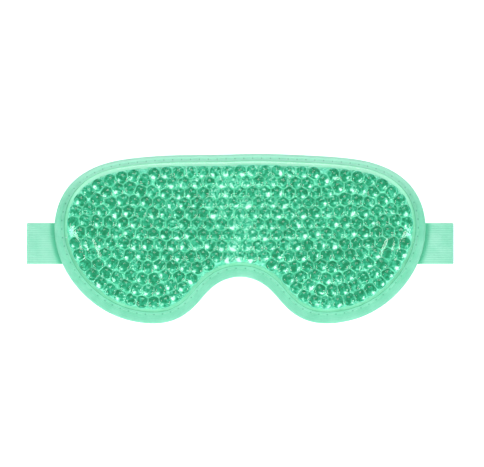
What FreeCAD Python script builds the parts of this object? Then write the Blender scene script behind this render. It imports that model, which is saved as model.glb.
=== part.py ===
"""Gel-bead eye mask with a hook-and-loop strap, lying face up with the strap folded flat behind it.

Millimetres. X runs across the face, +Y points to the forehead and +Z out of the bead side. The origin is
the middle of the underside, which is the face of the lower strap that the mask rests on.

The mask is a sandwich. A clear front film is domed over one layer of swollen gel beads in a clear liquid,
and is welded all round to a flat back film. A plush sheet lies behind the films. A folded tape binds the
edges of all three and is sewn through. At each temple the binding seam also catches a strap of elastic,
which runs outwards, folds back under the mask and meets the other strap in a hook-and-loop closure.
"""

import FreeCAD
import Part

import math
import os

V = FreeCAD.Vector

# ---- Outline: half of the rim, from the forehead round the temple and under the eye to the nose ------------
MASK_WIDTH = 225.5
FOREHEAD = (0.0, 51.8)
NOSE = (0.0, -23.2)
HALF_RIM = [
    (-36.0, 51.2),
    (-64.0, 49.4),
    (-88.1, 43.9),
    (-104.6, 31.9),
    (-112.4, 14.2),
    (-111.6, -5.0),
    (-104.1, -22.7),
    (-92.2, -36.6),
    (-76.6, -46.6),
    (-58.5, -51.3),
    (-41.4, -50.0),
    (-28.2, -41.8),
    (-16.3, -29.1),
]

# ---- Thicknesses -------------------------------------------------------------------------------------------
ELASTIC = 1.0
HOOK_TAPE = 0.8
LOOP_TAPE = 0.8
BINDING = 0.8
PLUSH_RIM = 0.9
FILM = 0.4
THREAD = 0.3

# ---- Clearances --------------------------------------------------------------------------------------------
GRIP_GAP = 0.1
STRAP_CLEARANCE = 0.3
SHEET_PLAY = 0.05
JOINT_GAP = 0.1

# ---- Heights, from the table upwards -----------------------------------------------------------------------
RIGHT_FOLD_RADIUS = 0.8
BAG_DEPTH = 7.4
HOOK_TAPE_Z = ELASTIC
LOOP_TAPE_Z = HOOK_TAPE_Z + HOOK_TAPE + GRIP_GAP
LOOP_STRAP_Z = LOOP_TAPE_Z + LOOP_TAPE
PILE_Z = LOOP_STRAP_Z + ELASTIC + STRAP_CLEARANCE
ROOT_Z = LOOP_STRAP_Z + 2 * RIGHT_FOLD_RADIUS
BINDING_Z = ROOT_Z + ELASTIC
SLOT_Z = BINDING_Z + BINDING
PLUSH_RIM_Z = SLOT_Z + SHEET_PLAY
BACK_FILM_Z = PLUSH_RIM_Z + PLUSH_RIM
BAG_FLOOR_Z = BACK_FILM_Z + FILM
SLOT_TOP_Z = BAG_FLOOR_Z + FILM + SHEET_PLAY
BINDING_TOP_Z = SLOT_TOP_Z + BINDING
BAG_MIDDLE_Z = BAG_FLOOR_Z + BAG_DEPTH / 2

# ---- Distances in from the rim. What belongs to the bag sits BAG_LIFT nearer the forehead ------------------
BAG_LIFT = 1.0
BINDING_FLAP = 6.3
BINDING_WALL = 0.9
BINDING_ROUNDING = 1.1
SHEET_INSET = 1.0
STITCH_INSET = 4.8
PILE_INSET = 8.0
PILE_ROUNDING = 1.2
BAG_WALL_INSET = 8.3
BAG_FLARE = 0.3
SHOULDER_RADIUS = BAG_DEPTH / 2
SHOULDER_STEPS = 6
BOUNDARY_POINTS = 320

# ---- How many edges each outline is made of ----------------------------------------------------------------
WIRE_PIECES = 14

# ---- Beads -------------------------------------------------------------------------------------------------
BEAD_RADIUS = 3.35
BEAD_PITCH = 7.42
BEAD_LIFT = 3.2
BEAD_SPREAD = 8.6
BEAD_CLOSEST = 7.15
BEAD_CLEARANCE = 0.3
BEAD_INSET = BAG_WALL_INSET + BEAD_RADIUS + BEAD_CLEARANCE
BEAD_REACH = 2.6
BEAD_ROWS = 8
BEAD_COLUMNS = 17
SPREADING_ROUNDS = 90
SETTLING_ROUNDS = 30
LIQUID_GAP = 0.08

# ---- Stitches of the binding seam --------------------------------------------------------------------------
STITCH_COUNT = 104
STITCH_SHARE = (3, 5)
STITCH_WIDTH = 0.5

# ---- Straps ------------------------------------------------------------------------------------------------
STRAP_WIDTH = 25.0
STRAP_Y = -3.0
STRAP_REACH = 130.0
ROOT_END = 105.5
LEFT_FOLD_RADIUS = ROOT_Z / 2
LEFT_FOLD_X = -(STRAP_REACH - LEFT_FOLD_RADIUS - ELASTIC / 2)
RIGHT_FOLD_X = STRAP_REACH - RIGHT_FOLD_RADIUS - ELASTIC / 2
LEFT_FOLD_Z = LEFT_FOLD_RADIUS + ELASTIC / 2
RIGHT_FOLD_Z = LOOP_STRAP_Z + ELASTIC / 2 + RIGHT_FOLD_RADIUS
TAB_X = 24.0
TAB_END = 70.0
HOOK_TAPE_X = (26.0, 64.0)
LOOP_TAPE_X = (22.0, 100.0)
LOOP_STRAP_END = 20.0
TAPE_MARGIN = 1.5
SEAM_MARGIN = 2.0
SEAM_WIDTH = 0.6
SEAM_DEPTH = 0.3


# ---- The rim and the outlines inside it --------------------------------------------------------------------
def make_rim():
    """The closed rim as one smooth curve, MASK_WIDTH wide and centred on Y = 0."""
    mirrored = [(-x, y) for x, y in reversed(HALF_RIM)]
    points = [FOREHEAD, *HALF_RIM, NOSE, *mirrored]
    curve = Part.BSplineCurve()
    curve.interpolate(Points=[V(x, y, 0) for x, y in points], PeriodicFlag=True)
    curve.scale(V(0, 0, 0), MASK_WIDTH / curve.toShape().optimalBoundingBox(False).XLength)
    box = curve.toShape().optimalBoundingBox(False)
    curve.translate(V(0, -(box.YMin + box.YMax) / 2, 0))
    return curve


RIM = make_rim()


def rim_samples():
    """Points on the rim with the inward normal at each, two to every span of the curve."""
    knots = RIM.getKnots()
    places = [u for a, b in zip(knots, knots[1:]) for u in (a, (a + b) / 2)]
    tangents = [RIM.tangent(u)[0] for u in places]
    return [(RIM.value(u), V(-t.y, t.x, 0)) for u, t in zip(places, tangents)]


RIM_SAMPLES = rim_samples()


def outline(inset, z, lift=0.0):
    """A closed wire that runs inset from the rim at height z, moved lift towards the forehead."""
    curve = Part.BSplineCurve()
    curve.interpolate(Points=[p + n * inset + V(0, lift, z) for p, n in RIM_SAMPLES], PeriodicFlag=True)
    knots = curve.getKnots()
    ends = knots[:: len(RIM_SAMPLES) // WIRE_PIECES]
    return Part.Wire([curve.toShape(a, b) for a, b in zip(ends, ends[1:])])


def plate(inset, z, thickness, lift=0.0):
    return Part.Face(outline(inset, z, lift)).extrude(V(0, 0, thickness))


def stacked(levels, lift=0.0):
    """A closed solid through outlines given as (inset, z), from the lowest to the highest."""
    return Part.makeLoft([outline(inset, z, lift) for inset, z in levels], True, True)


def quarter(radius, steps):
    """(1 - cos, sin) times radius at even steps of a quarter turn."""
    angles = [math.pi / 2 * i / steps for i in range(steps + 1)]
    return [(radius * (1 - math.cos(a)), radius * math.sin(a)) for a in angles]


# ---- The bag -----------------------------------------------------------------------------------------------
def bag_form(grow):
    """The space inside the bag, grown outwards by grow. A negative grow shrinks it."""
    low = BAG_FLOOR_Z if grow >= 0 else BAG_FLOOR_Z - grow
    shoulder = quarter(SHOULDER_RADIUS + grow, SHOULDER_STEPS)
    foot = [(BAG_WALL_INSET - BAG_FLARE - grow, low)]
    wall = [(BAG_WALL_INSET - grow + inward, BAG_MIDDLE_Z + up) for inward, up in shoulder]
    return stacked(foot + wall, BAG_LIFT)


def make_front_film():
    flange = plate(SHEET_INSET, BAG_FLOOR_Z, FILM)
    inside = bag_form(0)
    return flange.fuse(bag_form(FILM)).cut(inside).removeSplitter()


def make_back_film():
    return plate(SHEET_INSET, BACK_FILM_Z, FILM)


def bead_boundary():
    """Points of the line that no bead's centre may cross, with the inward normal at each."""
    points = outline(BEAD_INSET, 0, BAG_LIFT).discretize(Number=BOUNDARY_POINTS + 1)[:-1]
    edges = [(b - a).normalize() for a, b in zip(points[-1:] + points[:-1], points[1:] + points[:1])]
    return [(p, V(-t.y, t.x, 0)) for p, t in zip(points, edges)]


def depth_inside(point, boundary):
    """How far a point is inside the boundary, and the inward normal at the nearest place on it."""
    nearest, normal = min(boundary, key=lambda pair: (pair[0] - point).Length)
    return (point - nearest).dot(normal), normal


def settle(beads, boundary, closest, share, rounds):
    """Moves beads apart that are nearer than closest, share of the way a round, and keeps them in the bag."""
    for _ in range(rounds):
        pushes = [V(0, 0, 0) for _ in beads]
        for i, a in enumerate(beads):
            for j in range(i + 1, len(beads)):
                gap = beads[j] - a
                if abs(gap.y) < closest and gap.Length < closest:
                    push = gap * (closest / gap.Length - 1) * share
                    pushes[i] = pushes[i] - push
                    pushes[j] = pushes[j] + push
        beads = [p + push for p, push in zip(beads, pushes)]
        for i, p in enumerate(beads):
            depth, normal = depth_inside(p, boundary)
            if depth < 0:
                beads[i] = p - normal * depth
    return beads


def bead_centres():
    """A honeycomb of beads, spread until the outer ones line the wall of the bag and then moved clear."""
    boundary = bead_boundary()
    row_height = BEAD_PITCH * math.sqrt(3) / 2
    rows = range(-BEAD_ROWS, BEAD_ROWS + 1)
    columns = range(-BEAD_COLUMNS, BEAD_COLUMNS + 1)
    grid = [V((i + 0.5 * (j % 2)) * BEAD_PITCH, j * row_height + BEAD_LIFT, 0) for j in rows for i in columns]
    beads = [p for p in grid if depth_inside(p, boundary)[0] > -BEAD_REACH]
    beads = settle(beads, boundary, BEAD_SPREAD, 0.12, SPREADING_ROUNDS)
    return settle(beads, boundary, BEAD_CLOSEST, 0.4, SETTLING_ROUNDS)


BEADS = bead_centres()


def make_gel_beads():
    return Part.makeCompound([Part.makeSphere(BEAD_RADIUS, p + V(0, 0, BAG_MIDDLE_Z)) for p in BEADS])


def make_gel_liquid():
    hollows = [Part.makeSphere(BEAD_RADIUS + LIQUID_GAP, p + V(0, 0, BAG_MIDDLE_Z)) for p in BEADS]
    return bag_form(-SHEET_PLAY).cut(hollows)


# ---- Plush and binding -------------------------------------------------------------------------------------
def make_plush_backing():
    """A sheet whose rim is pressed thin inside the binding and whose pile stands out towards the face."""
    rim = plate(SHEET_INSET, PLUSH_RIM_Z, PLUSH_RIM)
    edge = quarter(PILE_ROUNDING, 3)
    rounded = [(PILE_INSET + PILE_ROUNDING - up, PILE_Z + inward) for inward, up in edge]
    return rim.fuse(stacked(rounded + [(PILE_INSET, PLUSH_RIM_Z + PLUSH_RIM / 2)])).removeSplitter()


def make_edge_binding():
    """A tape folded round the edges of the sheets: two flaps joined by a rounded wall."""
    edge = quarter(BINDING_ROUNDING, 3)
    lower = [(inward, BINDING_Z + BINDING_ROUNDING - up) for inward, up in reversed(edge)]
    upper = [(inward, BINDING_TOP_Z - BINDING_ROUNDING + up) for inward, up in edge]
    window = plate(BINDING_FLAP, BINDING_Z - 1, BINDING_TOP_Z - BINDING_Z + 2, BAG_LIFT)
    slot = plate(BINDING_WALL, SLOT_Z, SLOT_TOP_Z - SLOT_Z)
    return stacked(lower + upper).cut([window, slot])


# ---- The binding seam --------------------------------------------------------------------------------------
def bar(start, end, width, thickness):
    """A flat bar from start to end, standing thickness above them."""
    run = end - start
    piece = Part.makeBox(run.Length, width, thickness, V(0, -width / 2, 0))
    piece.rotate(V(0, 0, 0), V(0, 0, 1), math.degrees(math.atan2(run.y, run.x)))
    piece.translate(start)
    return piece


def seam(z):
    """The start and end of every stitch of the seam round the rim, at height z."""
    on, pitch = STITCH_SHARE
    points = outline(STITCH_INSET, z).discretize(Number=STITCH_COUNT * pitch + 1)
    return [(points[i * pitch], points[i * pitch + on]) for i in range(STITCH_COUNT)]


def over_strap(stitch):
    """Whether a stitch of the seam meets a strap, with a stitch's width to spare at the strap's edges."""
    reach = STRAP_WIDTH / 2 + STITCH_WIDTH
    return any(abs(p.x) > ROOT_END - STITCH_WIDTH and abs(p.y - STRAP_Y) < reach for p in stitch)


def stitches(places):
    return Part.makeCompound([bar(a, b, STITCH_WIDTH, THREAD) for a, b in places])


def make_binding_needle_thread():
    return stitches(seam(BINDING_TOP_Z))


def make_binding_bobbin_thread():
    return stitches([s for s in seam(BINDING_Z - THREAD) if not over_strap(s)])


def make_root_stitching(side):
    return stitches([s for s in seam(ROOT_Z - THREAD) if over_strap(s) and s[0].x * side > 0])


# ---- Straps ------------------------------------------------------------------------------------------------
def band(x_from, x_to, z, thickness, margin=0.0):
    """A flat length of strap, as wide as the elastic less a margin at each edge."""
    low, high = sorted((x_from, x_to))
    width = STRAP_WIDTH - 2 * margin
    return Part.makeBox(high - low, width, thickness, V(low, STRAP_Y - width / 2, z))


def fold(x, z, radius, side):
    """The half turn of elastic where a strap folds back."""
    edge = V(x, STRAP_Y - STRAP_WIDTH / 2, z)
    radii = (radius + ELASTIC / 2, radius - ELASTIC / 2)
    outer, inner = [Part.makeCylinder(r, STRAP_WIDTH, edge, V(0, 1, 0)) for r in radii]
    reach = 2 * (radius + ELASTIC)
    corner = edge + V(0 if side > 0 else -reach, 0, -reach)
    return outer.cut(inner).common(Part.makeBox(reach, STRAP_WIDTH, 2 * reach, corner))


def seam_frame(x_from, x_to, z, width, depth):
    """A rectangle of thread, or the groove for it, SEAM_MARGIN inside the edges of a tape."""
    outer = SEAM_MARGIN + (SEAM_WIDTH - width) / 2
    inner = outer + width
    rim, hole = [band(x_from + m, x_to - m, z, depth, TAPE_MARGIN + m) for m in (outer, inner)]
    return rim.cut(hole)


def tape(places, z, thickness, seam_z):
    return band(*places, z, thickness, TAPE_MARGIN).cut(seam_frame(*places, seam_z, SEAM_WIDTH, SEAM_DEPTH))


def tape_stitching(places, seam_z):
    thread = THREAD - SHEET_PLAY
    return seam_frame(*places, seam_z + (SEAM_DEPTH - thread) / 2, SEAM_WIDTH - 2 * SHEET_PLAY, thread)


HOOK_SEAM_Z = HOOK_TAPE_Z + HOOK_TAPE - SEAM_DEPTH

PARTS = {
    "front_film": make_front_film(),
    "back_film": make_back_film(),
    "gel_beads": make_gel_beads(),
    "gel_liquid": make_gel_liquid(),
    "plush_backing": make_plush_backing(),
    "edge_binding": make_edge_binding(),
    "binding_needle_thread": make_binding_needle_thread(),
    "binding_bobbin_thread": make_binding_bobbin_thread(),
    "left_strap_root": band(LEFT_FOLD_X, -ROOT_END, ROOT_Z, ELASTIC),
    "right_strap_root": band(ROOT_END, RIGHT_FOLD_X, ROOT_Z, ELASTIC),
    "left_root_stitching": make_root_stitching(-1),
    "right_root_stitching": make_root_stitching(1),
    "left_strap_fold": fold(LEFT_FOLD_X, LEFT_FOLD_Z, LEFT_FOLD_RADIUS, -1),
    "right_strap_fold": fold(RIGHT_FOLD_X, RIGHT_FOLD_Z, RIGHT_FOLD_RADIUS, 1),
    "hook_strap_band": band(LEFT_FOLD_X + JOINT_GAP, TAB_X - JOINT_GAP, 0, ELASTIC),
    "hook_tab_band": band(TAB_X + JOINT_GAP, TAB_END, 0, ELASTIC),
    "hook_tape": tape(HOOK_TAPE_X, HOOK_TAPE_Z, HOOK_TAPE, HOOK_SEAM_Z),
    "hook_tape_stitching": tape_stitching(HOOK_TAPE_X, HOOK_SEAM_Z),
    "loop_strap_band": band(LOOP_STRAP_END, RIGHT_FOLD_X - JOINT_GAP, LOOP_STRAP_Z, ELASTIC),
    "loop_tape": tape(LOOP_TAPE_X, LOOP_TAPE_Z, LOOP_TAPE, LOOP_TAPE_Z),
    "loop_tape_stitching": tape_stitching(LOOP_TAPE_X, LOOP_TAPE_Z),
}

os.makedirs("parts", exist_ok=True)
for name, shape in PARTS.items():
    shape.exportStep(f"parts/{name}.step")
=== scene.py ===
"""Looks of a gel-bead eye mask: wet gel beads under a clear film, a rim bound in knitted tape, a plush
back and a ribbed elastic strap that folds behind and closes with hook and loop.

Lengths are in millimetres until a mesh is made. X runs across the face, +Y to the forehead, +Z out of the
bead side.
"""

import math

import bpy
import numpy as np
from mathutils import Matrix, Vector


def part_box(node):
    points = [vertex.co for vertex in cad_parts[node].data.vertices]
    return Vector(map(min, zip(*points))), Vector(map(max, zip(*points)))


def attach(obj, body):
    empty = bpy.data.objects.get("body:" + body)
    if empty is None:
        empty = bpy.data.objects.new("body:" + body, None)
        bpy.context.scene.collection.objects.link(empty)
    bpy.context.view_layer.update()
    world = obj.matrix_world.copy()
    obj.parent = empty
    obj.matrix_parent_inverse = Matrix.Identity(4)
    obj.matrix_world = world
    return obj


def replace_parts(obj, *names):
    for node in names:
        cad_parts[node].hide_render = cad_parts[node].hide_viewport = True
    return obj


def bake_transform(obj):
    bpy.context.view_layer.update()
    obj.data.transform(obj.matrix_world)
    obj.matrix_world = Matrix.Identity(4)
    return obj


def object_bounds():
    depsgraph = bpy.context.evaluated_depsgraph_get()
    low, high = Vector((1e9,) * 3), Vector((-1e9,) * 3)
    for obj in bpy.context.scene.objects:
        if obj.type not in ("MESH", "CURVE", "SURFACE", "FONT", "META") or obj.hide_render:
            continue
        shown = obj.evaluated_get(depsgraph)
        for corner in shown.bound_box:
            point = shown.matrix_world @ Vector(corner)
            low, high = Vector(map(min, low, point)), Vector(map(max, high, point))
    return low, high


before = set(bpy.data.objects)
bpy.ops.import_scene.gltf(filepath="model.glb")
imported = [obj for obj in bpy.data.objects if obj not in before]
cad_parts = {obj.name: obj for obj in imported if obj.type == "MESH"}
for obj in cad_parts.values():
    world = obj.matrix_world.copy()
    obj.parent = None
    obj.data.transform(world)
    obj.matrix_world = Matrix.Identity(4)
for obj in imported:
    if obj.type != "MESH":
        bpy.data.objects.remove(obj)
CAD_LOW, CAD_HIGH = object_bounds()

MM = 0.001
rng = np.random.default_rng(11)

# ---- Makes of the parts, in millimetres, that the frame doesn't say ----------------------------------------
BINDING_FLAP = 6.3
BINDING_WALL = 0.9
BINDING_TAPE = 0.8
BINDING_CURVE = 1.1
FOREHEAD_TRIM = 0.75
BAG_LIFT = 1.0
SEAM_MARGIN = 1.7
STITCH_COUNT = 104
HOLE_MARGIN = 0.4
ROOT_REACH = 104
DOME_FOOT = 7.2
BAG_WALL = 7.9
FILM = 0.4
ELASTIC = 1.0
STRAP_RIBS = 18
THREAD = 0.3
RIM_STATIONS = 720
RIM_SMOOTHING = 6
AT_ONCE = 4000

# ---- The bag's looks, in millimetres -----------------------------------------------------------------------
FILM_PITCH = 0.5
FILM_INSET = 2.5
FILM_BLEND = 7.0
FILM_DIP = 0.30
WALL_RISE = 4.4
WALL_CURVE = 0.7
WALL_BLEND = 4.0
WELD_PLACE = 6.9
WELD_HEIGHT = 0.24
WELD_WIDTH = 0.4
BEAD_SPREAD = 3.7
BEAD_WIDEST = 4.2
BEAD_FLATTENED = 3.45
BEAD_SQUASH = 1.15
BEAD_TURNS = 24
BEAD_TILTS = (15, 28, 40, 50, 58, 65, 72, 80, 90, 112, 135, 158)
NEAR_BEAD = 0.4
BEAD_GAP = 0.02
LIQUID_PITCH = 0.8
LIQUID_RISE = 1.6
LIQUID_WALL = 3.0
# Where the painted pool of light sits on each bead, and how wide it is.
PAINTED_LIGHT_PLACE = 2.35
PAINTED_LIGHT_WIDTH = 1.2
CREASE_SLOPE = 0.33
FILM_CREASES = [
    ((98.5, 5), (91.5, -16), 0.1),
    ((100.5, 16), (99.0, 6), 0.15),
    ((92.6, -1), (90.6, -7), 0.3),
    ((87.5, 0), (83.0, -10), 0.35),
]


def node_points(name):
    """Corners of a frame node's mesh, in millimetres."""
    return np.array([v.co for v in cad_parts[name].data.vertices]) / MM


def span(name):
    """Lowest and highest corner of a frame node, in millimetres."""
    low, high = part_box(name)
    return np.array(low) / MM, np.array(high) / MM


# ---- Meshes ------------------------------------------------------------------------------------------------
def make_piece(name, points, faces, material, uv=None, marks=None):
    """A smooth mesh object from points in millimetres. uv places each face corner on the cloth, and marks are
    named numbers at the points for the material to read."""
    mesh = bpy.data.meshes.new(name)
    mesh.from_pydata((np.asarray(points) * MM).tolist(), [], [list(f) for f in faces])
    mesh.polygons.foreach_set("use_smooth", [True] * len(mesh.polygons))
    if uv is not None:
        mesh.uv_layers.new(name="cloth").data.foreach_set("uv", np.asarray(uv, float).ravel())
    for mark, values in (marks or {}).items():
        mesh.attributes.new(mark, "FLOAT", "POINT").data.foreach_set("value", np.asarray(values, float))
    mesh.materials.append(material)
    piece = bpy.data.objects.new(name, mesh)
    bpy.context.scene.collection.objects.link(piece)
    return piece


def lattice(rows, columns, close_rows=False, close_columns=False):
    """Quads over a lattice of points, with the row and column of each corner before it wraps round."""
    r = np.arange(rows if close_rows else rows - 1)
    c = np.arange(columns if close_columns else columns - 1)
    r, c = [a.ravel() for a in np.meshgrid(r, c, indexing="ij")]
    corner_rows = np.stack([r, r + 1, r + 1, r], 1)
    corner_columns = np.stack([c, c, c + 1, c + 1], 1)
    quads = (corner_rows % rows) * columns + corner_columns % columns
    return quads, corner_rows, corner_columns


def running_length(points, closed):
    """Length along a line of points up to each point, and round to the start if it is closed."""
    steps = np.linalg.norm(np.diff(np.vstack([points, points[:1]]) if closed else points, axis=0), axis=1)
    return np.concatenate([[0], np.cumsum(steps)])


def sweep(name, rings, material, closed_path=False, closed_section=True, marks=None):
    """A skin over rings of points, one ring to a row, with its cloth coordinates in millimetres."""
    rings = np.asarray(rings)
    rows, columns = rings.shape[:2]
    quads, corner_rows, corner_columns = lattice(rows, columns, closed_path, closed_section)
    along = running_length(rings.mean(axis=1), closed_path)
    across = running_length(rings[0], closed_section)
    uv = np.stack([along[corner_rows], across[corner_columns]], 2)
    faces = [tuple(q) for q in quads]
    uv = list(uv.reshape(-1, 2))
    if not closed_path and closed_section:
        for row in (0, rows - 1):
            cap = [row * columns + c for c in range(columns)]
            faces.append(tuple(reversed(cap)) if row else tuple(cap))
            uv += [(along[row], across[c % columns]) for c in range(columns)]
    return make_piece(name, rings.reshape(-1, 3), faces, material, uv, marks)


def joined(parts):
    """Points and faces of several (points, faces) parts as one."""
    points, faces, count = [], [], 0
    for part_points, part_faces in parts:
        points.append(np.asarray(part_points))
        faces += [tuple(i + count for i in f) for f in part_faces]
        count += len(part_points)
    return np.vstack(points), faces


def closed_slab(top, bottom, quads):
    """A closed body between two sheets of points with the same quads."""
    count = len(top)
    edges = {}
    for quad in quads:
        for a, b in zip(quad, np.roll(quad, -1)):
            edges[(int(a), int(b))] = True
    rim = [(a, b) for a, b in edges if (b, a) not in edges]
    faces = [tuple(q) for q in quads] + [tuple(q[::-1] + count) for q in quads]
    faces += [(b, a, a + count, b + count) for a, b in rim]
    return np.vstack([top, bottom]), faces


# ---- Materials ---------------------------------------------------------------------------------------------
def tint(code):
    """A hex sRGB colour as the linear colour that the shaders take."""
    channels = [int(code[i : i + 2], 16) / 255 for i in (1, 3, 5)]
    return [c / 12.92 if c <= 0.04045 else ((c + 0.055) / 1.055) ** 2.4 for c in channels] + [1.0]


def add(tree, kind, inputs=None, stops=None, **settings):
    """Adds a node with its settings. An input is a value, or the output socket that it is linked to."""
    node = tree.nodes.new(kind)
    for name, value in settings.items():
        setattr(node, name, value)
    for name, value in (inputs or {}).items():
        if isinstance(value, bpy.types.NodeSocket):
            tree.links.new(value, node.inputs[name])
        else:
            node.inputs[name].default_value = value
    for i, (place, colour) in enumerate(stops or []):
        element = node.color_ramp.elements[i] if i < 2 else node.color_ramp.elements.new(place)
        element.position = place
        element.color = colour
    return node


def new_material(name):
    material = bpy.data.materials.new(name)
    material.use_nodes = True
    material.node_tree.nodes.clear()
    return material, material.node_tree


def finish_surface(tree, shader):
    add(tree, "ShaderNodeOutputMaterial", {"Surface": shader})


def per_mm(size):
    """The texture scale at which one feature of a pattern is size millimetres."""
    return 1 / (size * MM)


def swollen_gel():
    """Acrylic hydrogel, swollen wet. Light and shade are painted into its colour: each bead is blotched, dark
    in the middle with painted shade, pale on one side with a painted pool of light, and ringed by a painted
    bright line where it presses on its neighbours. It also glows faintly with painted light."""
    material, tree = new_material("swollen_acrylic_hydrogel")
    place = add(tree, "ShaderNodeTexCoord")
    blot = add(tree, "ShaderNodeTexNoise", {
        "Vector": place.outputs["Object"], "Scale": per_mm(2.1), "Detail": 2.5, "Roughness": 0.6,
        "Distortion": 1.1})
    # Painted light and shade: a pale pool of light on one side of each bead, and painted shade in its middle.
    painted_light_and_shade = add(tree, "ShaderNodeAttribute", attribute_name="painted_light_and_shade")
    lit = add(tree, "ShaderNodeMath", {0: painted_light_and_shade.outputs["Fac"], 1: 0.34, 2: blot.outputs["Fac"]},
              operation="MULTIPLY_ADD")
    pale = add(tree, "ShaderNodeAttribute", attribute_name="pale")
    tone_with_painted_light = add(tree, "ShaderNodeMath", {0: pale.outputs["Fac"], 1: 0.15, 2: lit.outputs[0]},
                operation="MULTIPLY_ADD")
    body = add(tree, "ShaderNodeValToRGB", {"Fac": tone_with_painted_light.outputs[0]}, stops=[
        (0.36, tint("#0A8257")), (0.48, tint("#21A479")), (0.58, tint("#48C79F")), (0.68, tint("#90EED0")),
        (0.80, tint("#EAFFF8"))])
    # Painted highlight: a bright line round each bead where it presses on its neighbours.
    near = add(tree, "ShaderNodeAttribute", attribute_name="to_neighbour")
    ring = add(tree, "ShaderNodeMapRange", {"Value": near.outputs["Fac"], "From Min": 0.16, "From Max": 0.62,
                                            "To Min": 1.0, "To Max": 0.0}, interpolation_type="SMOOTHSTEP")
    faint = add(tree, "ShaderNodeTexNoise", {"Vector": place.outputs["Object"], "Scale": per_mm(5.0)})
    strength = add(tree, "ShaderNodeMapRange", {
        "Value": faint.outputs["Fac"], "From Min": 0.35, "From Max": 0.6, "To Min": 0.45, "To Max": 0.95})
    share = add(tree, "ShaderNodeMath", {0: ring.outputs[0], 1: strength.outputs[0]}, operation="MULTIPLY")
    colour = add(tree, "ShaderNodeMix", {"Factor": share.outputs[0], "A": body.outputs["Color"],
                                         "B": tint("#8FFADD")}, data_type="RGBA")
    # The emission is a faint painted glow that stands in for light caught in the gel.
    gel = add(tree, "ShaderNodeBsdfPrincipled", {
        "Base Color": colour.outputs["Result"], "Roughness": 0.3, "IOR": 1.36, "Specular IOR Level": 0.08,
        "Emission Color": tint("#2FA97A"), "Emission Strength": 0.08})
    finish_surface(tree, gel.outputs[0])
    return material


def clear_gel_liquid():
    """Glycol and water, clear: mint between the beads, with pale threads of painted light in it, and a faint
    painted glow.
    """
    material, tree = new_material("clear_glycol_gel")
    place = add(tree, "ShaderNodeTexCoord")
    cloud = add(tree, "ShaderNodeTexNoise", {
        "Vector": place.outputs["Object"], "Scale": per_mm(3.2), "Detail": 2.0, "Distortion": 0.8})
    tone = add(tree, "ShaderNodeValToRGB", {"Fac": cloud.outputs["Fac"]}, stops=[
        (0.36, tint("#45C39D")), (0.50, tint("#67DEBA")), (0.66, tint("#9CF6DC"))])
    # The emission is a faint painted glow, not a lamp.
    gel = add(tree, "ShaderNodeBsdfPrincipled", {
        "Base Color": tone.outputs["Color"], "Roughness": 0.3, "IOR": 1.40, "Specular IOR Level": 0.1,
        "Emission Color": tint("#A0EBD0"), "Emission Strength": 0.12})
    finish_surface(tree, gel.outputs[0])
    return material


def calendered_film():
    """Soft PVC film, calendered smooth: clear, and seen only by its wet-looking glints."""
    material, tree = new_material("calendered_soft_pvc_film")
    through = add(tree, "ShaderNodeBsdfTransparent", {"Color": tint("#F6FFFB")})
    gloss = add(tree, "ShaderNodeBsdfGlossy", {"Color": tint("#FFFFFF"), "Roughness": 0.09})
    slant = add(tree, "ShaderNodeLayerWeight", {"Blend": 0.5})
    steep = add(tree, "ShaderNodeMath", {0: slant.outputs["Facing"], 1: 5.0}, operation="POWER")
    share = add(tree, "ShaderNodeMapRange", {"Value": steep.outputs[0], "To Min": 0.034, "To Max": 0.6})
    film = add(tree, "ShaderNodeMixShader", {0: share.outputs[0], 1: through.outputs[0], 2: gloss.outputs[0]})
    finish_surface(tree, film.outputs[0])
    return material


def welded_film():
    """The same film where it is welded flat over the cloth: green-tinted, satin, with a faint cloud, paler
    towards the forehead with painted light, and with a faint painted glow."""
    material, tree = new_material("welded_soft_pvc_film")
    place = add(tree, "ShaderNodeTexCoord")
    cloud = add(tree, "ShaderNodeTexNoise", {
        "Vector": place.outputs["Object"], "Scale": per_mm(7), "Detail": 4.0})
    tone = add(tree, "ShaderNodeValToRGB", {"Fac": cloud.outputs["Fac"]}, stops=[
        (0.35, tint("#8ADDBC")), (0.65, tint("#A8EBD2"))])
    # Painted light: the film is painted paler towards the forehead.
    forehead = add(tree, "ShaderNodeSeparateXYZ", {0: place.outputs["Object"]})
    high = add(tree, "ShaderNodeMapRange", {"Value": forehead.outputs["Y"], "From Min": 12 * MM,
                                            "From Max": 42 * MM}, interpolation_type="SMOOTHSTEP")
    paler = add(tree, "ShaderNodeMix", {"Factor": high.outputs[0], "A": tone.outputs["Color"],
                                        "B": tint("#D6F8E9")}, data_type="RGBA")
    grain = add(tree, "ShaderNodeTexNoise", {"Vector": place.outputs["Object"], "Scale": per_mm(1.1)})
    bump = add(tree, "ShaderNodeBump", {
        "Height": grain.outputs["Fac"], "Strength": 0.3, "Distance": 0.05 * MM})
    # The emission is a faint painted glow that stands in for light coming through the film.
    film = add(tree, "ShaderNodeBsdfPrincipled", {
        "Base Color": paler.outputs["Result"], "Roughness": 0.32, "IOR": 1.53, "Normal": bump.outputs[0],
        "Emission Color": tint("#A6EAD1"), "Emission Strength": 0.26})
    finish_surface(tree, film.outputs[0])
    return material


def cloth_waves(tree, along, across):
    """The cloth coordinates, and the sum of a wave along the cloth and one across it, each that many
    millimetres long."""
    place = add(tree, "ShaderNodeUVMap", uv_map="cloth")
    split = add(tree, "ShaderNodeSeparateXYZ", {0: place.outputs["UV"]})
    waves = []
    for axis, length in (("X", along), ("Y", across)):
        turn = add(tree, "ShaderNodeMath", {0: split.outputs[axis], 1: 2 * math.pi / length},
                   operation="MULTIPLY")
        waves.append(add(tree, "ShaderNodeMath", {0: turn.outputs[0]}, operation="SINE").outputs[0])
    knit = add(tree, "ShaderNodeMath", {0: waves[0], 1: waves[1]}, operation="ADD")
    return split, knit.outputs[0]


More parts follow.
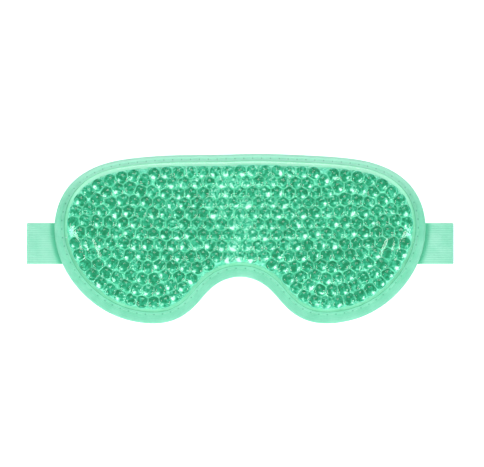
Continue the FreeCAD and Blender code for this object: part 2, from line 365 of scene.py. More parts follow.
def dyed_cloth(tree, knit, light, shade, relief):
    """Mottled colour and a fibrous bump over the knit. Gives the colour and the normal."""
    where = add(tree, "ShaderNodeTexCoord")
    mottle = add(tree, "ShaderNodeTexNoise", {
        "Vector": where.outputs["Object"], "Scale": per_mm(9), "Detail": 5.0})
    fibre = add(tree, "ShaderNodeTexNoise", {
        "Vector": where.outputs["Object"], "Scale": per_mm(0.7), "Detail": 2.0})
    cloud = add(tree, "ShaderNodeMath", {0: knit, 1: 0.05, 2: mottle.outputs["Fac"]},
                operation="MULTIPLY_ADD")
    dye = add(tree, "ShaderNodeValToRGB", {"Fac": cloud.outputs[0]}, stops=[
        (0.3, tint(shade)), (0.68, tint(light))])
    raised = add(tree, "ShaderNodeMath", {0: fibre.outputs["Fac"], 1: 1.2, 2: knit},
                 operation="MULTIPLY_ADD")
    bump = add(tree, "ShaderNodeBump", {
        "Height": raised.outputs[0], "Strength": relief, "Distance": 0.1 * MM})
    return dye.outputs["Color"], bump.outputs[0]


def knitted_binding(seam_pitch, seam_place):
    """Knitted polyester tape, dyed mint and pressed smooth, with painted light making it paler towards the
    forehead. The needle leaves a small dark hole every seam_pitch along it, seam_place across it."""
    material, tree = new_material("knitted_polyester_binding")
    split, knit = cloth_waves(tree, 0.9, 0.9)
    dye, bump = dyed_cloth(tree, knit, "#8BDFBF", "#75D3AE", 0.3)
    where = add(tree, "ShaderNodeTexCoord")
    # Painted light: the tape is painted paler towards the forehead.
    forehead = add(tree, "ShaderNodeSeparateXYZ", {0: where.outputs["Object"]})
    painted_light_share = add(tree, "ShaderNodeMapRange", {"Value": forehead.outputs["Y"], "From Min": 12 * MM,
                                            "From Max": 46 * MM}, interpolation_type="SMOOTHSTEP")
    painted_light_to_forehead = add(tree, "ShaderNodeMix", {"Factor": painted_light_share.outputs[0], "A": dye, "B": tint("#A8EAD0")},
                data_type="RGBA")
    turn = add(tree, "ShaderNodeMath", {0: split.outputs["X"], 1: seam_pitch / 2}, operation="PINGPONG")
    away = add(tree, "ShaderNodeMath", {0: split.outputs["Y"], 1: seam_place}, operation="SUBTRACT")
    near = add(tree, "ShaderNodeCombineXYZ", {"X": turn.outputs[0], "Y": away.outputs[0]})
    gap = add(tree, "ShaderNodeVectorMath", {0: near.outputs[0]}, operation="LENGTH")
    hole = add(tree, "ShaderNodeMapRange", {"Value": gap.outputs["Value"], "From Min": 0.2, "From Max": 0.55,
                                            "To Min": 0.6, "To Max": 0.0})
    colour = add(tree, "ShaderNodeMix", {"Factor": hole.outputs[0], "A": painted_light_to_forehead.outputs["Result"],
                                         "B": tint("#2E8F68")}, data_type="RGBA")
    cloth = add(tree, "ShaderNodeBsdfPrincipled", {
        "Base Color": colour.outputs["Result"], "Roughness": 0.85, "Normal": bump, "Sheen Weight": 0.12,
        "Sheen Roughness": 0.5, "Sheen Tint": tint("#E6FFF5")})
    finish_surface(tree, cloth.outputs[0])
    return material


def woven_elastic():
    """Elastic woven of polyester over rubber cores: ribs along it with painted shade in their grooves, and
    darker with painted shade where it gathers in under the binding at its root."""
    material, tree = new_material("woven_rubber_cored_elastic")
    split, knit = cloth_waves(tree, 0.8, 1.4)
    dye, bump = dyed_cloth(tree, knit, "#A4EACF", "#8BDFBF", 0.35)
    # Painted shade in the grooves between the ribs.
    groove_shade = add(tree, "ShaderNodeAttribute", attribute_name="groove_shade")
    groove = add(tree, "ShaderNodeMath", {0: groove_shade.outputs["Fac"], 1: 0.32}, operation="MULTIPLY")
    painted_groove_shade = add(tree, "ShaderNodeMix", {"Factor": groove.outputs[0], "A": dye, "B": tint("#6CCBA5")},
                  data_type="RGBA")
    # Painted shade: darker where the elastic runs in under the binding.
    root = add(tree, "ShaderNodeAttribute", attribute_name="root")
    painted_shade_under_binding = add(tree, "ShaderNodeMix", {"Factor": root.outputs["Fac"], "A": painted_groove_shade.outputs["Result"],
                                           "B": tint("#5FCDA4")}, data_type="RGBA")
    cloth = add(tree, "ShaderNodeBsdfPrincipled", {
        "Base Color": painted_shade_under_binding.outputs["Result"], "Roughness": 0.8, "Normal": bump, "Sheen Weight": 0.1,
        "Sheen Roughness": 0.5, "Sheen Tint": tint("#E6FFF5")})
    finish_surface(tree, cloth.outputs[0])
    return material


def brushed_cloth(name, light, shade):
    """Brushed polyester: matt, mottled, with a strong soft sheen over a short nap."""
    material, tree = new_material(name)
    where = add(tree, "ShaderNodeTexCoord")
    lie = add(tree, "ShaderNodeTexNoise", {
        "Vector": where.outputs["Object"], "Scale": per_mm(11), "Detail": 5.0, "Distortion": 0.6})
    nap = add(tree, "ShaderNodeTexNoise", {
        "Vector": where.outputs["Object"], "Scale": per_mm(0.9), "Detail": 3.0})
    dye = add(tree, "ShaderNodeValToRGB", {"Fac": lie.outputs["Fac"]}, stops=[
        (0.32, tint(shade)), (0.66, tint(light))])
    bump = add(tree, "ShaderNodeBump", {"Height": nap.outputs["Fac"], "Strength": 0.7, "Distance": 0.3 * MM})
    cloth = add(tree, "ShaderNodeBsdfPrincipled", {
        "Base Color": dye.outputs["Color"], "Roughness": 0.95, "Normal": bump.outputs[0], "Sheen Weight": 0.5,
        "Sheen Roughness": 0.4, "Sheen Tint": tint("#E6FFF5")})
    finish_surface(tree, cloth.outputs[0])
    return material


def moulded_hooks():
    """Nylon, moulded into hooks: satin, with a waxy gloss."""
    material, tree = new_material("moulded_nylon_hook_tape")
    where = add(tree, "ShaderNodeTexCoord")
    cloud = add(tree, "ShaderNodeTexNoise", {
        "Vector": where.outputs["Object"], "Scale": per_mm(6), "Detail": 3.0})
    tone = add(tree, "ShaderNodeValToRGB", {"Fac": cloud.outputs["Fac"]}, stops=[
        (0.35, tint("#8FDDBF")), (0.65, tint("#A8EBD2"))])
    nylon = add(tree, "ShaderNodeBsdfPrincipled", {
        "Base Color": tone.outputs["Color"], "Roughness": 0.38, "IOR": 1.53})
    finish_surface(tree, nylon.outputs[0])
    return material


def sewing_thread():
    """Spun polyester thread: a little glossier than the cloth, with the twist of its plies."""
    material, tree = new_material("spun_polyester_thread")
    where = add(tree, "ShaderNodeTexCoord")
    twist = add(tree, "ShaderNodeTexNoise", {"Vector": where.outputs["Object"], "Scale": per_mm(0.35)})
    tone = add(tree, "ShaderNodeValToRGB", {"Fac": twist.outputs["Fac"]}, stops=[
        (0.35, tint("#8FE0C1")), (0.65, tint("#A6EAD0"))])
    bump = add(tree, "ShaderNodeBump", {
        "Height": twist.outputs["Fac"], "Strength": 0.4, "Distance": 0.05 * MM})
    thread = add(tree, "ShaderNodeBsdfPrincipled", {
        "Base Color": tone.outputs["Color"], "Roughness": 0.55, "Normal": bump.outputs[0],
        "Sheen Weight": 0.2})
    finish_surface(tree, thread.outputs[0])
    return material


# ---- The rim, read from the binding ------------------------------------------------------------------------
def evenly(points, count):
    """A closed line of points, spaced evenly again."""
    along = running_length(points, True)
    wrapped = np.vstack([points, points[:1]])
    places = np.arange(count) * along[-1] / count
    return np.stack([np.interp(places, along, wrapped[:, k]) for k in range(wrapped.shape[1])], 1)


def read_rim():
    """The outermost line of the binding in order, anticlockwise from above, and the inward normals."""
    low, high = span("edge_binding")
    corners = node_points("edge_binding")
    wall = corners[np.abs(corners[:, 2] - low[2] - BINDING_CURVE) < 0.002][:, :2]
    middle = np.array([0.0, (high[1] + NOSE_Y) / 2])
    turn = np.arctan2(*(wall - middle).T[::-1])
    ordered = wall[np.argsort(turn)]
    keep = np.linalg.norm(np.diff(ordered, axis=0, append=ordered[:1]), axis=1) > 0.01
    loop = evenly(ordered[keep], RIM_STATIONS)
    for _ in range(RIM_SMOOTHING):
        loop = (np.roll(loop, 1, 0) + 2 * loop + np.roll(loop, -1, 0)) / 4
    loop = evenly(loop, RIM_STATIONS)
    tangent = np.roll(loop, -1, 0) - np.roll(loop, 1, 0)
    tangent /= np.linalg.norm(tangent, axis=1)[:, None]
    return loop, np.stack([-tangent[:, 1], tangent[:, 0]], 1)


def nose_top():
    """How far down the middle the mask reaches above the nose."""
    corners = node_points("edge_binding")
    middle = corners[(np.abs(corners[:, 0]) < 3) & (corners[:, 1] < 0)]
    return middle[:, 1].min()


NOSE_Y = nose_top()
RIM, INWARD = read_rim()
RIM_LENGTH = running_length(RIM, True)
ROOT_LOW, ROOT_HIGH = span("left_strap_root")
ROOT_FOOT = ROOT_LOW[2]
STRAP_WIDTH = ROOT_HIGH[1] - ROOT_LOW[1]
STRAP_Y = (ROOT_LOW[1] + ROOT_HIGH[1]) / 2


def rim_nearest(points, lift=0.0):
    """How far inside the rim, moved lift towards the forehead, each point is, and the inward normal there."""
    line = RIM + [0, lift]
    insets, normals = np.empty(len(points)), np.empty((len(points), 2))
    for start in range(0, len(points), AT_ONCE):
        part = points[start : start + AT_ONCE]
        gap = part[:, None] - line[None]
        nearest = np.argmin((gap**2).sum(2), axis=1)
        rows = np.arange(len(part))
        insets[start : start + AT_ONCE] = (gap[rows, nearest] * INWARD[nearest]).sum(1)
        normals[start : start + AT_ONCE] = INWARD[nearest]
    return insets, normals


def inset_of(points, lift=0.0):
    return rim_nearest(points, lift)[0]


# ---- Edge binding and its seam -----------------------------------------------------------------------------
BINDING_LOW, BINDING_HIGH = span("edge_binding")
BINDING_TOP = BINDING_HIGH[2]
BINDING_FOOT = BINDING_LOW[2]
BINDING_MIDDLE = (BINDING_TOP + BINDING_FOOT) / 2


def binding_rings():
    """The tape's section at each station of the rim: padded over the outer edge, drawn down along its seam,
    and trimmed a little narrower over the forehead. Gives the rings and which line of them is the seam."""
    flap = BINDING_FLAP + BAG_LIFT * INWARD[:, 1] - FOREHEAD_TRIM * np.clip(-INWARD[:, 1], 0, 1) ** 2
    stitch = RIM_LENGTH[:-1] / RIM_LENGTH[-1] * STITCH_COUNT
    pull = 0.22 + 0.14 * (0.5 + 0.5 * np.cos(2 * math.pi * stitch))
    top, foot, middle = BINDING_TOP, BINDING_FOOT, BINDING_MIDDLE
    seam = flap - SEAM_MARGIN
    section = [
        (flap - 0.05, top - 0.62), (flap, top - 0.3), (flap - 0.12, top - 0.05), (flap - 0.45, top + 0.06),
        (seam + 0.75, top + 0.02 - pull * 0.3), (seam + 0.35, top - pull * 0.75), (seam, top - pull),
        (seam - 0.4, top - pull * 0.7), (seam * 0.72, top + 0.12), (seam * 0.52, top + 0.24),
        (seam * 0.36, top + 0.22), (1.0, top - 0.04), (0.65, top - 0.4), (0.22, top - 0.95),
        (0.0, middle), (0.22, foot + 0.95), (0.65, foot + 0.4), (1.3, foot + 0.08), (2.4, foot),
        (flap - 0.4, foot), (flap - 0.05, foot + 0.2), (flap - 0.05, foot + 0.6),
        (flap - 0.4, foot + BINDING_TAPE), (BINDING_WALL, foot + BINDING_TAPE),
        (BINDING_WALL, top - BINDING_TAPE), (flap - 0.4, top - BINDING_TAPE),
    ]
    seam_row = 6
    still = np.zeros(RIM_STATIONS)
    lines = [np.column_stack([RIM + INWARD * (still + inset)[:, None], still + z]) for inset, z in section]
    return np.stack(lines[::-1], 1), len(section) - 1 - seam_row


def make_binding():
    rings, seam = binding_rings()
    along = running_length(rings.mean(axis=1), True)
    across = running_length(rings[0], True)
    cloth = knitted_binding(along[-1] / STITCH_COUNT, across[seam])
    binding = sweep("edge_binding_tape", rings, cloth, closed_path=True)
    rounding = binding.modifiers.new("rounding", "SUBSURF")
    rounding.levels = rounding.render_levels = 1
    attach(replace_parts(binding, "edge_binding"), "mask")
    return along, rings[:, seam]


def make_threads(name, node, body, starts, ends, up):
    """Stitches: each thread comes out of one hole, lies on the cloth and goes into the next hole."""
    run = ends - starts
    side = np.cross(run / np.linalg.norm(run, axis=1)[:, None], up)
    share = np.array([0.0, 0.07, 0.22, 0.5, 0.78, 0.93, 1.0])
    rise = np.array([-0.32, -0.04, 0.08, 0.12, 0.08, -0.04, -0.32])
    middle = starts[:, None] + run[:, None] * share[:, None] + np.outer(rise, up)
    turn = 2 * math.pi * np.arange(6) / 6
    ring = side[:, None] * np.cos(turn)[:, None] + np.outer(np.sin(turn), up)
    points = middle[:, :, None] + ring[:, None] * THREAD / 2
    quads, _, _ = lattice(len(share), len(turn), False, True)
    size = len(share) * len(turn)
    faces = (quads[None] + size * np.arange(len(starts))[:, None, None]).reshape(-1, 4)
    threads = make_piece(name, points.reshape(-1, 3), faces, THREAD_SPUN)
    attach(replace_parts(threads, node), body)


def make_binding_seam(along, line):
    """The seam round the rim: needle thread on top, bobbin thread below, and what holds each strap's root."""
    pitch = along[-1] / STITCH_COUNT
    holes = pitch * np.arange(STITCH_COUNT)
    closed = np.vstack([line, line[:1]])
    starts, ends = [
        np.stack([np.interp(place, along, closed[:, k]) for k in range(2)], 1)
        for place in (holes + HOLE_MARGIN, holes + pitch - HOLE_MARGIN)]
    middle = (starts + ends) / 2
    in_strap = np.abs(middle[:, 1] - STRAP_Y) < STRAP_WIDTH / 2
    over_root = (np.abs(middle[:, 0]) > ROOT_REACH) & in_strap
    everywhere = np.full(STITCH_COUNT, True)
    for name, node, chosen, height, up in (
        ("needle_thread_stitches", "binding_needle_thread", everywhere, BINDING_TOP - 0.3, 1),
        ("bobbin_thread_stitches", "binding_bobbin_thread", ~over_root, BINDING_FOOT - 0.05, -1),
        ("left_root_stitches", "left_root_stitching", over_root & (middle[:, 0] < 0), ROOT_FOOT - 0.05, -1),
        ("right_root_stitches", "right_root_stitching", over_root & (middle[:, 0] > 0), ROOT_FOOT - 0.05, -1),
    ):
        flat = np.full(chosen.sum(), height)
        make_threads(name, node, "mask", np.column_stack([starts[chosen], flat]),
                     np.column_stack([ends[chosen], flat]), np.array([0, 0, up]))


# ---- The bag: film, beads and liquid -----------------------------------------------------------------------
FILM_LOW, FILM_HIGH = span("front_film")
BEADS_LOW, BEADS_HIGH = span("gel_beads")
FLANGE_TOP = FILM_LOW[2] + FILM
BEAD_MIDDLE = (BEADS_LOW[2] + BEADS_HIGH[2]) / 2
FILM_CREST = FILM_HIGH[2] - BEAD_MIDDLE


def bead_centres():
    """The middle of every bead, from the pole on top of each ball of the frame's bead node."""
    corners = node_points("gel_beads")
    poles = corners[corners[:, 2] > BEADS_HIGH[2] - 0.002][:, :2]
    return np.unique(np.round(poles, 2), axis=0)


BEADS = bead_centres()


def crease(points, start, end, stand):
    """How high a fold of the film tents over the middle of the beads, with an even slope to each side."""
    start, end = np.array(start), np.array(end)
    run = end - start
    share = np.clip(((points - start) @ run) / (run @ run), 0, 1)
    gap = np.linalg.norm(points - start - share[:, None] * run, axis=1)
    return FILM_CREST + stand - CREASE_SLOPE * gap


def film_height(points):
    """Height of the film: stretched over each bead, down in the gaps, and falling to the welded flange."""
    bulge = np.empty(len(points))
    for start in range(0, len(points), AT_ONCE):
        part = points[start : start + AT_ONCE]
        away = ((part[:, None] - BEADS[None]) ** 2).sum(2) / BEAD_SPREAD**2
        cap = FILM_CREST * (1 - 0.16 * away - 0.08 * away**2)
        over_all = np.exp(FILM_BLEND * np.clip(cap, -4, None)).sum(1)
        bulge[start : start + AT_ONCE] = np.log(over_all) / FILM_BLEND
    for begin, end, stand in FILM_CREASES:
        bulge = np.maximum(bulge, crease(points, begin, end, stand))
        bulge = np.maximum(bulge, crease(points * [-1, 1], begin, end, stand))
    inset = inset_of(points, BAG_LIFT)
    rise = np.clip(inset - DOME_FOOT, 0, None)
    wall = WALL_RISE * rise**WALL_CURVE
    in_gaps = np.minimum(FLANGE_TOP + wall, BEAD_MIDDLE + FILM_DIP * FILM_CREST)
    dome = np.maximum(BEAD_MIDDLE + bulge, in_gaps) - FLANGE_TOP
    height = -np.log(np.exp(-WALL_BLEND * dome) + np.exp(-WALL_BLEND * wall)) / WALL_BLEND
    weld = WELD_HEIGHT * np.exp(-(((inset - WELD_PLACE) / WELD_WIDTH) ** 2))
    return FLANGE_TOP + weld + np.where(inset < DOME_FOOT, 0, np.maximum(height, 0))


def grid_within(pitch, inset, lift=0.0):
    """Points of a square grid inside the rim by at least inset, and the quads between them."""
    reach = np.abs(RIM).max(axis=0) + pitch
    counts = np.ceil(reach / pitch).astype(int)
    x, y = [np.arange(-n, n + 1) * pitch for n in counts]
    grid = np.stack(np.meshgrid(x, y, indexing="ij"), 2)
    inside = inset_of(grid.reshape(-1, 2), lift).reshape(grid.shape[:2]) >= inset
    number = np.full(grid.shape[:2], -1)
    number[inside] = np.arange(inside.sum())
    corners = [number[:-1, :-1], number[1:, :-1], number[1:, 1:], number[:-1, 1:]]
    quads = np.stack(corners, 2).reshape(-1, 4)
    return grid[inside], quads[(quads >= 0).all(axis=1)]


def make_film():
    points, quads = grid_within(FILM_PITCH, FILM_INSET)
    domed = np.column_stack([points, film_height(points)])
    film = make_piece("domed_front_film", domed, quads, CLEAR_FILM)
    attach(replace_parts(film, "front_film"), "mask")


def ball(turns, tilts):
    """Points and faces of a unit ball with its poles up and down, and rings at the tilts from the top."""
    turn = 2 * np.pi * np.arange(turns) / turns
    tilt, turn = np.meshgrid(np.radians(tilts), turn, indexing="ij")
    out = np.sin(tilt)
    body = np.stack([out * np.cos(turn), out * np.sin(turn), np.cos(tilt)], 2).reshape(-1, 3)
    quads, _, _ = lattice(len(tilts), turns, False, True)
    first, last = len(body), len(body) + 1
    foot = (len(tilts) - 1) * turns
    top = [(first, i, (i + 1) % turns) for i in range(turns)]
    bottom = [(last, foot + (i + 1) % turns, foot + i) for i in range(turns)]
    return np.vstack([body, [[0, 0, 1], [0, 0, -1]]]), [tuple(q) for q in quads] + top + bottom


def make_beads():
    """Beads swollen against each other: round on top, with a flat on each side that meets a neighbour. Each
    point knows how far it is from the nearest neighbour, and how much painted light and painted shade it
    carries."""
    unit, faces = ball(BEAD_TURNS, BEAD_TILTS)
    parts, to_neighbour, painted_light_and_shade, pale = [], [], [], []
    from_rim, inward = rim_nearest(BEADS, BAG_LIFT)
    for centre, inset, normal in zip(BEADS, from_rim, inward):
        body = unit * BEAD_WIDEST * rng.uniform(0.985, 1.015)
        away = BEADS - centre
        gaps = np.linalg.norm(away, axis=1)
        near = 2 * BEAD_WIDEST + NEAR_BEAD
        pressing = [(other / gap, gap / 2) for other, gap in zip(away, gaps) if 0 < gap < near]
        if inset - BAG_WALL < BEAD_WIDEST + NEAR_BEAD:
            pressing.append((-normal, inset - BAG_WALL))
        clear = BEAD_WIDEST - np.linalg.norm(body[:, :2], axis=1)
        for way, reach in pressing:
            side = np.append(way, 0)
            past = np.clip(body @ side - (reach - BEAD_GAP), 0, None)
            body = body - past[:, None] * side
            clear = np.minimum(clear, reach - body @ side)
        squashed = np.tanh(body[:, 2] / BEAD_FLATTENED * BEAD_SQUASH)
        body[:, 2] = BEAD_FLATTENED * squashed / np.tanh(1.24)
        # Painted light: a pale pool at the foot of each bead, on the side away from the nose, with painted
        # shade in the middle of the bead.
        lean = math.atan2(-0.75, 0.65 * math.tanh(centre[0] / 14)) + rng.normal(0, 0.35)
        toward = np.array([math.cos(lean), math.sin(lean)])
        painted_light_spot = np.exp(-((np.linalg.norm(body[:, :2] - PAINTED_LIGHT_PLACE * toward, axis=1) / PAINTED_LIGHT_WIDTH) ** 2))
        rim = np.linalg.norm(body[:, :2] + 0.3 * toward, axis=1) / BEAD_WIDEST
        painted_light_and_shade.append(painted_light_spot * rng.uniform(0.15, 1.5) - 0.16 * np.clip(1 - rim, 0, 1) - 0.06)
        # Beads over the nose are paler, in a wedge that widens towards the forehead.
        in_middle = math.exp(-((centre[0] / (9 + 0.35 * (centre[1] + 14))) ** 2))
        pale.append(np.full(len(body), in_middle * rng.uniform(0.3, 1.0) + rng.uniform(-0.3, 0.3)))
        to_neighbour.append(np.clip(clear, 0, None))
        parts.append((body + [*centre, BEAD_MIDDLE], faces))
    points, faces = joined(parts)
    marks = {"to_neighbour": np.concatenate(to_neighbour), "painted_light_and_shade": np.concatenate(painted_light_and_shade),
             "pale": np.concatenate(pale)}
    beads = make_piece("swollen_gel_beads", points, faces, GEL, marks=marks)
    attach(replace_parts(beads, "gel_beads"), "mask")


def make_liquid():
    """The liquid's surface between the beads, drawn up a little towards the film, with a flat underside."""
    points, quads = grid_within(LIQUID_PITCH, DOME_FOOT + 0.4, BAG_LIFT)
    low, _ = span("gel_liquid")
    surface = np.full(len(points), BEAD_MIDDLE + LIQUID_RISE)
    rise = inset_of(points, BAG_LIFT) - DOME_FOOT
    surface = np.minimum(surface, low[2] + LIQUID_WALL * rise**WALL_CURVE)
    top = np.column_stack([points, surface])
    bottom = np.column_stack([points, np.full(len(points), low[2])])
    liquid = make_piece("gel_liquid_fill", *closed_slab(top, bottom, quads), LIQUID)
    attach(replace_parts(liquid, "gel_liquid"), "mask")


# ---- Plush -------------------------------------------------------------------------------------------------
def make_plush():
    """The sheet behind the films, pressed thin at its rim, with a nap of short fibres on the face side."""
    points, quads = grid_within(1.0, 1.2)
    low, high = span("plush_backing")
    pressed = high[2] - 0.85

    def pile(inset):
        return pressed + (low[2] + 0.5 - pressed) * np.clip((inset - 7.4) / 2.2, 0, 1) ** 0.5

    foot = pile(inset_of(points)) + rng.uniform(-0.1, 0.1, len(points))
    top = np.column_stack([points, np.full(len(points), high[2])])
    sheet = closed_slab(top, np.column_stack([points, foot]), quads)
    near, _ = grid_within(0.95, 7.9)
    near = near + rng.uniform(-0.45, 0.45, near.shape)
    root = np.column_stack([near, pile(inset_of(near)) + 0.15])
    lie = rng.normal(-math.pi / 2, 0.7, len(root))
    lean = np.column_stack([np.cos(lie), np.sin(lie), np.zeros(len(root))])
    breadth = np.column_stack([-np.sin(lie), np.cos(lie), np.zeros(len(root))]) * 0.17
    tip = root + lean * rng.uniform(0.5, 1.3, len(root))[:, None]
    tip[:, 2] = np.maximum(root[:, 2] - rng.uniform(0.3, 0.62, len(root)), low[2] + 0.02)
    spine = np.stack([root - breadth, root + breadth, root + lean * 0.25 + [0, 0, -0.08], tip], 1)
    spike = np.array([(0, 1, 2), (1, 0, 3), (2, 1, 3), (0, 2, 3)])
    nap = (spine.reshape(-1, 3), (spike[None] + 4 * np.arange(len(root))[:, None, None]).reshape(-1, 3))
    plush = make_piece("plush_backing_cloth", *joined([sheet, nap]), PLUSH)
    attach(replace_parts(plush, "plush_backing"), "mask")


# ---- Straps ------------------------------------------------------------------------------------------------
def strap_section():
    """Places across the elastic and above its middle, all round its ribbed section, and where its grooves
    are."""
    half = STRAP_WIDTH / 2
    across = np.linspace(-1, 1, STRAP_RIBS * 6 + 1) * (half - 0.25)
    share = across / (2 * half - 0.5) + 0.5
    groove = 0.5 - 0.5 * np.cos(2 * math.pi * STRAP_RIBS * share + math.pi)
    height = ELASTIC / 2 - 0.14 * groove
    width = np.concatenate([across, [half], across[::-1], [-half]])
    around = np.concatenate([height, [0], -height[::-1], [0]])
    return width, around, np.concatenate([groove, [0], groove, [0]])


def make_elastic(name, path, nodes):
    """A length of ribbed elastic along a path of (x, z)."""
    path = np.array(path)
    run = np.gradient(path, axis=0)
    run /= np.linalg.norm(run, axis=1)[:, None]
    width, height, groove = strap_section()
    rings = np.stack([
        path[:, :1] - run[:, 1:] * height,
        np.broadcast_to(STRAP_Y + width, (len(path), len(width))),
        path[:, 1:] + run[:, :1] * height,
    ], 2)
    corners = rings.reshape(-1, 3)
    # The root mark is painted shade where the elastic runs in under the binding.
    outside = -inset_of(corners[:, :2])
    root = np.clip((3.6 - outside) / 2.2, 0, 1) * (corners[:, 2] > ROOT_FOOT - 0.2)
    # The groove marks paint shade into the grooves between the ribs.
    marks = {"groove_shade": np.tile(groove, len(path)), "root": root}
    elastic = sweep(name, rings, ELASTIC_CLOTH, marks=marks)
    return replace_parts(elastic, *nodes)


def half_turn(x, z, radius, side):
    """Places round the fold where a strap turns back under the mask."""
    turns = np.linspace(math.pi / 2, -math.pi / 2, 17)[1:-1]
    return [(x + side * radius * math.cos(a), z + radius * math.sin(a)) for a in turns]


def folded_path(side, band, far):
    """From a strap's root in the binding, out to its fold, and back behind the mask as far as far."""
    root_low, root_high = span(("left" if side < 0 else "right") + "_strap_root")
    band_low, band_high = span(band)
    top, low = (root_low[2] + root_high[2]) / 2, (band_low[2] + band_high[2]) / 2
    near, fold = (root_high[0], root_low[0]) if side < 0 else (root_low[0], root_high[0])
    steps = int(abs(far - fold) / 4) + 2
    out = [(x, top) for x in np.linspace(near, fold, 24)]
    back = [(x, low) for x in np.linspace(fold, far, steps)]
    return out + half_turn(fold, (top + low) / 2, (top - low) / 2, side) + back, fold


def at(x, y, z):
    """A place in metres."""
    return (x * MM, y * MM, z * MM)


def make_straps():
    """The two straps, each folded back under the mask, and the hook tab."""
    tab_low, tab_high = span("hook_tab_band")
    meeting = tab_low[0] - 4
    path, fold = folded_path(-1, "hook_strap_band", meeting)
    left = make_elastic("hook_side_elastic", path,
                        ("left_strap_root", "left_strap_fold", "hook_strap_band"))
    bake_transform(left)
    height = (tab_low[2] + tab_high[2]) / 2
    path = [(x, height) for x in np.linspace(meeting, tab_high[0], 50)]
    tab = make_elastic("hook_tab_elastic", path, ("hook_tab_band",))
    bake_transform(tab)
    end = span("loop_strap_band")[0][0]
    path, fold = folded_path(1, "loop_strap_band", end)
    right = make_elastic("loop_side_elastic", path,
                         ("right_strap_root", "right_strap_fold", "loop_strap_band"))
    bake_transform(right)


# ---- Hook and loop tapes -----------------------------------------------------------------------------------
def tape_places(name, pitch, margin):
    """Staggered places over a tape, clear of its edges and its seam."""
    low, high = span(name)
    seam_low, seam_high = span(name + "_stitching")
    x = np.arange(low[0] + margin, high[0] - margin, pitch)
    y = np.arange(low[1] + margin, high[1] - margin, pitch)
    grid = np.stack(np.meshgrid(x, y, indexing="ij"), 2)
    grid[::2, :, 1] += pitch / 2
    places = grid.reshape(-1, 2)
    middle, reach = (seam_low + seam_high)[:2] / 2, (seam_high - seam_low)[:2] / 2
    from_seam = np.abs((np.abs(places - middle) - reach).max(axis=1))
    return places[(from_seam > 0.8) & (places[:, 1] < high[1] - margin / 2)]


def bristles(places, lines, radius):
    """A thin four-sided tube along a line of points at each place. lines is (places, points, 3)."""
    middle = np.column_stack([places, np.zeros(len(places))])[:, None] + lines
    run = np.gradient(lines, axis=1)
    side = np.cross(run, [0.0, 0.0, 1.0]) + 1e-6
    side /= np.linalg.norm(side, axis=2)[:, :, None]
    over = np.cross(run, side)
    over /= np.linalg.norm(over, axis=2)[:, :, None]
    points = np.stack([middle + side * radius, middle + over * radius, middle - side * radius,
                       middle - over * radius], 2)
    quads, _, _ = lattice(lines.shape[1], 4, False, True)
    size = lines.shape[1] * 4
    return points.reshape(-1, 3), (quads[None] + size * np.arange(len(places))[:, None, None]).reshape(-1, 4)


def tape_base(name, low_z, high_z):
    """A thin sheet under the hooks or loops, with its edge rounded off."""
    low, high = span(name)
    x = np.linspace(low[0], high[0], 60)
    y = np.linspace(low[1], high[1], 30)
    grid = np.stack(np.meshgrid(x, y, indexing="ij"), 2).reshape(-1, 2)
    edge = np.minimum(grid - low[:2], high[:2] - grid).min(axis=1)
    drop = 0.12 * np.clip(1 - edge / 0.9, 0, 1) ** 2 * np.sign(high_z - low_z)
    quads, _, _ = lattice(60, 30)
    top, foot = np.column_stack([grid, high_z - drop]), np.column_stack([grid, np.full(len(grid), low_z)])
    return closed_slab(top, foot, quads) if high_z > low_z else closed_slab(foot, top, quads)


def make_hook_tape():
    low, high = span("hook_tape")
    base = high[2] - 0.5
    places = tape_places("hook_tape", 1.6, 1.0)
    turn = np.linspace(0, 1.25 * math.pi, 8)
    reach = np.concatenate([[0, 0], 0.24 - 0.24 * np.cos(turn)])
    rise = np.concatenate([[-0.05, 0.12], 0.16 + 0.24 * np.sin(turn)])
    way = rng.choice([-1.0, 1.0], len(places))[:, None]
    lines = np.stack([way * reach, 0 * way * reach, base + rise + 0 * way], 2)
    tape = make_piece("hook_tape_moulding", *joined([
        tape_base("hook_tape", low[2], base), bristles(places, lines, 0.085)]), NYLON)
    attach(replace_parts(tape, "hook_tape"), "hook_tab")
    make_tape_seam("hook_tape_stitches", "hook_tape_stitching", "hook_tab", base + 0.05, 1)


def make_loop_tape():
    low, high = span("loop_tape")
    base = low[2] + 0.42
    places = tape_places("loop_tape", 1.25, 0.9)
    places = places + rng.uniform(-0.3, 0.3, places.shape)
    turn = np.linspace(0, math.pi, 8)
    wide, deep = rng.uniform(0.4, 0.75, (2, len(places)))
    way = rng.uniform(0, 2 * math.pi, len(places))
    across = wide[:, None] * np.cos(turn)
    lines = np.stack([np.cos(way)[:, None] * across, np.sin(way)[:, None] * across,
                      base + 0.05 - 0.62 * deep[:, None] * np.sin(turn)], 2)
    tape = make_piece("loop_tape_pile", *joined([
        tape_base("loop_tape", high[2], base), bristles(places, lines, 0.06)]), LOOPS)
    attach(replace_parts(tape, "loop_tape"), "loop_strap")
    make_tape_seam("loop_tape_stitches", "loop_tape_stitching", "loop_strap", base - 0.05, -1)


def make_tape_seam(name, node, body, height, up):
    """Stitches 2.5 mm long round the rectangle that holds a tape to its strap."""
    low, high = span(node)
    low, high = low[:2] + 0.25, high[:2] - 0.25
    corners = [low, np.array([high[0], low[1]]), high, np.array([low[0], high[1]])]
    starts, ends = [], []
    for here, there in zip(corners, corners[1:] + corners[:1]):
        count = round(np.linalg.norm(there - here) / 2.5)
        step = (there - here) / count
        starts += [here + step * (i + 0.08) for i in range(count)]
        ends += [here + step * (i + 0.92) for i in range(count)]
    flat = np.full(len(starts), height)
    make_threads(name, node, body, np.column_stack([starts, flat]), np.column_stack([ends, flat]),
                 np.array([0, 0, up]))


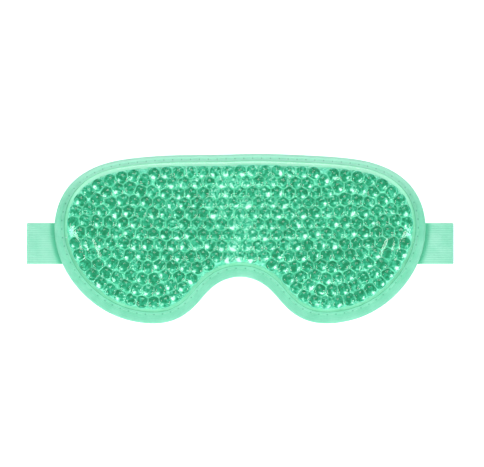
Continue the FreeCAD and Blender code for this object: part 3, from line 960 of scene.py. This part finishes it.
# ---- Making it ---------------------------------------------------------------------------------------------
GEL = swollen_gel()
LIQUID = clear_gel_liquid()
CLEAR_FILM = calendered_film()
ELASTIC_CLOTH = woven_elastic()
PLUSH = brushed_cloth("brushed_polyester_plush", "#A9E8D0", "#86D6B8")
LOOPS = brushed_cloth("brushed_nylon_loop_tape", "#A2E6CC", "#7FD6B5")
NYLON = moulded_hooks()
THREAD_SPUN = sewing_thread()

make_binding_seam(*make_binding())
make_film()
make_beads()
make_liquid()
make_plush()
make_straps()
make_hook_tape()
make_loop_tape()
back_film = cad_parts["back_film"].data.materials
back_film.clear()
back_film.append(welded_film())

# ---- Floor, light and camera -------------------------------------------------------------------------------
VIEW_WIDTH = 293.5
VIEW_CENTRE = (1.2, 3.1)
CAMERA_HEIGHT = 1500.0
MASK_TOP = 8.0
SENSOR = 36.0
FLOOR_REACH = 4000
TEMPLE_AIM = 75


def make_floor():
    material, tree = new_material("white_paper_sweep")
    paper = add(tree, "ShaderNodeBsdfPrincipled", {
        "Base Color": tint("#FFFFFF"), "Roughness": 0.9, "Emission Color": tint("#FFFFFF"),
        "Emission Strength": 0.8})
    finish_surface(tree, paper.outputs[0])
    corners = [(-FLOOR_REACH, -FLOOR_REACH), (FLOOR_REACH, -FLOOR_REACH), (FLOOR_REACH, FLOOR_REACH),
               (-FLOOR_REACH, FLOOR_REACH)]
    floor = make_piece("floor", [(x, y, CAD_LOW.z / MM) for x, y in corners], [(0, 1, 2, 3)], material)


def make_light(name, place, aim, size, power):
    """A square lamp with its middle at a place and facing another, both in millimetres."""
    data = bpy.data.lights.new(name, "AREA")
    data.energy = power
    data.size = size * MM
    lamp = bpy.data.objects.new(name, data)
    bpy.context.scene.collection.objects.link(lamp)
    place, aim = np.array(place) * MM, np.array(aim) * MM
    lamp.location = place
    lamp.rotation_euler = Vector(aim - place).to_track_quat("-Z", "Y").to_euler()


def make_studio():
    world = bpy.data.worlds.new("white_room")
    bpy.context.scene.world = world
    world.use_nodes = True
    backdrop = world.node_tree.nodes["Background"]
    backdrop.inputs["Color"].default_value = (1, 1, 1, 1)
    backdrop.inputs["Strength"].default_value = 0.45
    make_light("overhead", (0, 440, 1100), (0, 0, 0), 420, 2.3)
    for side in (-1, 1):
        aim = (side * TEMPLE_AIM, 0, 10)
        make_light("side_window", (side * 560, -130, 700), aim, 170, 0.9)
        make_light("low_softbox", (side * 560, -480, 620), aim, 360, 2.55)
    bpy.context.scene.view_settings.view_transform = "Standard"


def make_camera():
    data = bpy.data.cameras.new("front")
    data.sensor_width = SENSOR
    data.lens = SENSOR * CAMERA_HEIGHT / VIEW_WIDTH
    data.clip_start, data.clip_end = 0.05, 10
    camera = bpy.data.objects.new("front", data)
    bpy.context.scene.collection.objects.link(camera)
    camera.location = at(*VIEW_CENTRE, CAMERA_HEIGHT + MASK_TOP)
    bpy.context.scene.camera = camera


make_floor()
make_studio()
make_camera()
